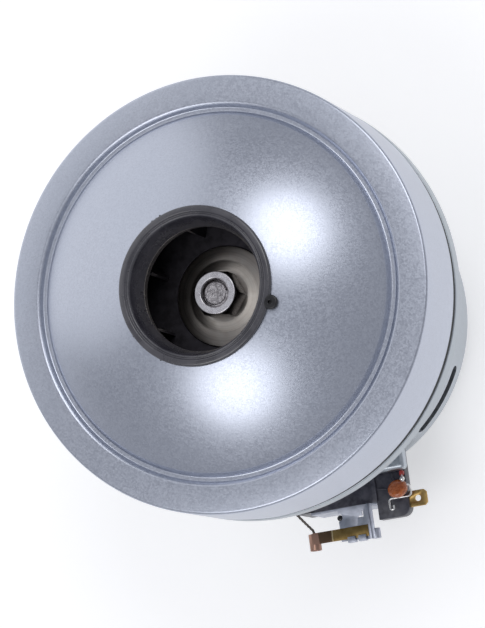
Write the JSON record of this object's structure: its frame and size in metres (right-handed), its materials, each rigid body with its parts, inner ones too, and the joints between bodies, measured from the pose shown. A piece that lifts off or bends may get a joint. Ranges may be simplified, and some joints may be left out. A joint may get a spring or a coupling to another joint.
{
  "type": "vacuum motor unit",
  "caption": "Brushed vacuum motor with a pressed steel fan cover, black inlet seal, riveted suction fan, drawn steel motor can and two side brush gears.",
  "frame": {"origin": "on the shaft's axis at the flat end of the rear bearing boss", "axes": "+Z along the shaft towards the air inlet; the two brush gears stand out along -Y and +Y"},
  "size_m": [0.135, 0.1494, 0.124],
  "materials": {
    "zinc_sheet": "zinc-plated pressed steel sheet",
    "zinc_can": "zinc-plated drawn steel",
    "seal_rubber": "moulded black rubber",
    "gasket_rubber": "black rubber cord",
    "diffuser_plastic": "moulded black plastic",
    "screw_steel": "zinc-plated screws",
    "bearing_steel": "ground bearing steel",
    "bearing_cage": "nylon cage",
    "spring_steel": "spring steel",
    "core_steel": "stacked lamination steel",
    "coil_copper": "enamelled copper wire",
    "insulation": "insulating board",
    "shaft_steel": "turned steel",
    "nut_steel": "zinc-plated nut",
    "disc_steel": "turned steel disc",
    "spacer_steel": "turned steel",
    "sleeve_plastic": "insulating tube",
    "fan_aluminium": "pressed aluminium sheet",
    "commutator_copper": "turned copper bars",
    "commutator_resin": "phenolic resin",
    "brush_carbon": "pressed carbon",
    "tube_brass": "drawn brass tube",
    "shunt_copper": "copper braid",
    "holder_resin": "moulded phenolic resin",
    "tab_brass": "stamped brass",
    "clip_steel": "zinc-plated stamped steel",
    "strip_brass": "dull brass strip",
    "lead_varnish": "varnished twisted wire",
    "capacitor_epoxy": "dipped epoxy",
    "lead_tin": "tinned copper wire",
    "sleeve_red": "red insulating sleeve"
  },
  "bodies": {
    "motor_body": {"bearing_shields": "bearing_steel", "brush_bracket_a": "clip_steel", "brush_bracket_b": "clip_steel", "brush_holder_a": "holder_resin", "brush_holder_b": "holder_resin", "brush_shunt_a": "shunt_copper", "brush_shunt_b": "shunt_copper", "brush_spring_a": "spring_steel", "brush_spring_b": "spring_steel", "brush_tube_a": "tube_brass", "brush_tube_b": "tube_brass", "capacitor_a": "capacitor_epoxy", "capacitor_b": "capacitor_epoxy", "capacitor_leads_a": "lead_tin", "capacitor_leads_b": "lead_tin", "coil_cheeks": "insulation", "contact_strip_a": "strip_brass", "contact_strip_b": "strip_brass", "cover_gasket": "gasket_rubber", "diffuser": "diffuser_plastic", "diffuser_screws": "screw_steel", "earth_sleeves": "sleeve_red", "fan_cover": "zinc_sheet", "field_coil_left": "coil_copper", "field_coil_right": "coil_copper", "field_leads": "lead_varnish", "flange_screws": "screw_steel", "front_bearing_outer_ring": "bearing_steel", "front_bracket": "zinc_can", "holder_screws": "screw_steel", "inlet_seal": "seal_rubber", "motor_can": "zinc_can", "preload_washer": "spring_steel", "rear_bearing_outer_ring": "bearing_steel", "stator_core": "core_steel", "terminal_tab_a": "tab_brass", "terminal_tab_b": "tab_brass"},
    "rotor": {"shaft": "shaft_steel", "shaft_nut": "nut_steel", "clamp_disc": "disc_steel", "back_washer": "disc_steel", "fan_spacer": "spacer_steel", "rear_spacer": "spacer_steel", "shaft_sleeves": "sleeve_plastic", "impeller_shroud": "fan_aluminium", "impeller_back_plate": "fan_aluminium", "impeller_blades": "fan_aluminium", "armature_core": "core_steel", "armature_insulators": "insulation", "armature_winding": "coil_copper", "commutator_bars": "commutator_copper", "commutator_hub": "commutator_resin", "front_bearing_inner_ring": "bearing_steel", "rear_bearing_inner_ring": "bearing_steel"},
    "front_cage": {"front_bearing_cage": "bearing_cage", "front_bearing_balls": "bearing_steel"},
    "rear_cage": {"rear_bearing_cage": "bearing_cage", "rear_bearing_balls": "bearing_steel"},
    "brush_a": {"carbon_brush_a": "brush_carbon"},
    "brush_b": {"carbon_brush_b": "brush_carbon"}
  },
  "joints": [
    {"name": "rotor_spin", "type": "hinge", "parent": "motor_body", "child": "rotor", "pos_m": [0, 0, 0.0057], "axis": [0, 0, 1], "continuous": true},
    {"name": "front_cage_spin", "type": "hinge", "parent": "motor_body", "child": "front_cage", "pos_m": [0, 0, 0.0825], "axis": [0, 0, 1], "continuous": true},
    {"name": "rear_cage_spin", "type": "hinge", "parent": "motor_body", "child": "rear_cage", "pos_m": [0, 0, 0.0057], "axis": [0, 0, 1], "continuous": true},
    {"name": "brush_a_slide", "type": "slide", "parent": "motor_body", "child": "brush_a", "axis": [0, -1, 0], "range_m": [0, 0.008], "stiffness_N_per_m": 120, "springref_m": -0.02, "deforming": ["brush_spring_a", "brush_shunt_a"]},
    {"name": "brush_b_slide", "type": "slide", "parent": "motor_body", "child": "brush_b", "axis": [0, 1, 0], "range_m": [0, 0.008], "stiffness_N_per_m": 120, "springref_m": -0.02, "deforming": ["brush_spring_b", "brush_shunt_b"]}
  ],
  "couplings": [
    {"joint": "front_cage_spin", "follows": "rotor_spin", "ratio": 0.3689},
    {"joint": "rear_cage_spin", "follows": "rotor_spin", "ratio": 0.3689}
  ]
}
